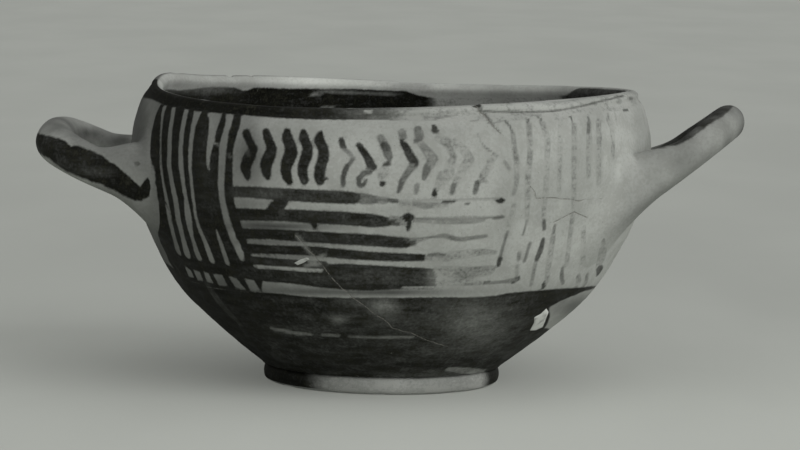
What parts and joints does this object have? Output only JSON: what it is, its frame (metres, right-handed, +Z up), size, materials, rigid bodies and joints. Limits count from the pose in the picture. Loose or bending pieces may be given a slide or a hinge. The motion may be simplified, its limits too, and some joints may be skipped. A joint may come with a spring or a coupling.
{
  "type": "skyphos cup",
  "caption": "Low round drinking bowl of painted clay with a ring foot, a short offset lip and a horizontal loop handle on each side, mended.",
  "frame": {"origin": "centre of the foot's resting face", "axes": "+Z up, +X towards the steeper handle, -Y towards the front"},
  "size_m": [0.1817, 0.1342, 0.076],
  "materials": {
    "bowl_clay": "buff clay with worn dark slip paint",
    "sherd_clay": "buff clay with worn dark slip paint",
    "handle_clay": "buff clay with worn dark slip paint",
    "foot_clay": "buff clay with worn dark slip paint",
    "plaster": "matt plaster"
  },
  "bodies": {
    "root": {"bowl": "bowl_clay", "foot_ring": "foot_clay", "handle_left": "handle_clay", "handle_right": "handle_clay", "wall_sherd_right": "sherd_clay", "rim_sherd_back": "sherd_clay", "plaster_fill_right": "plaster", "plaster_fill_front": "plaster"}
  },
  "joints": []
}
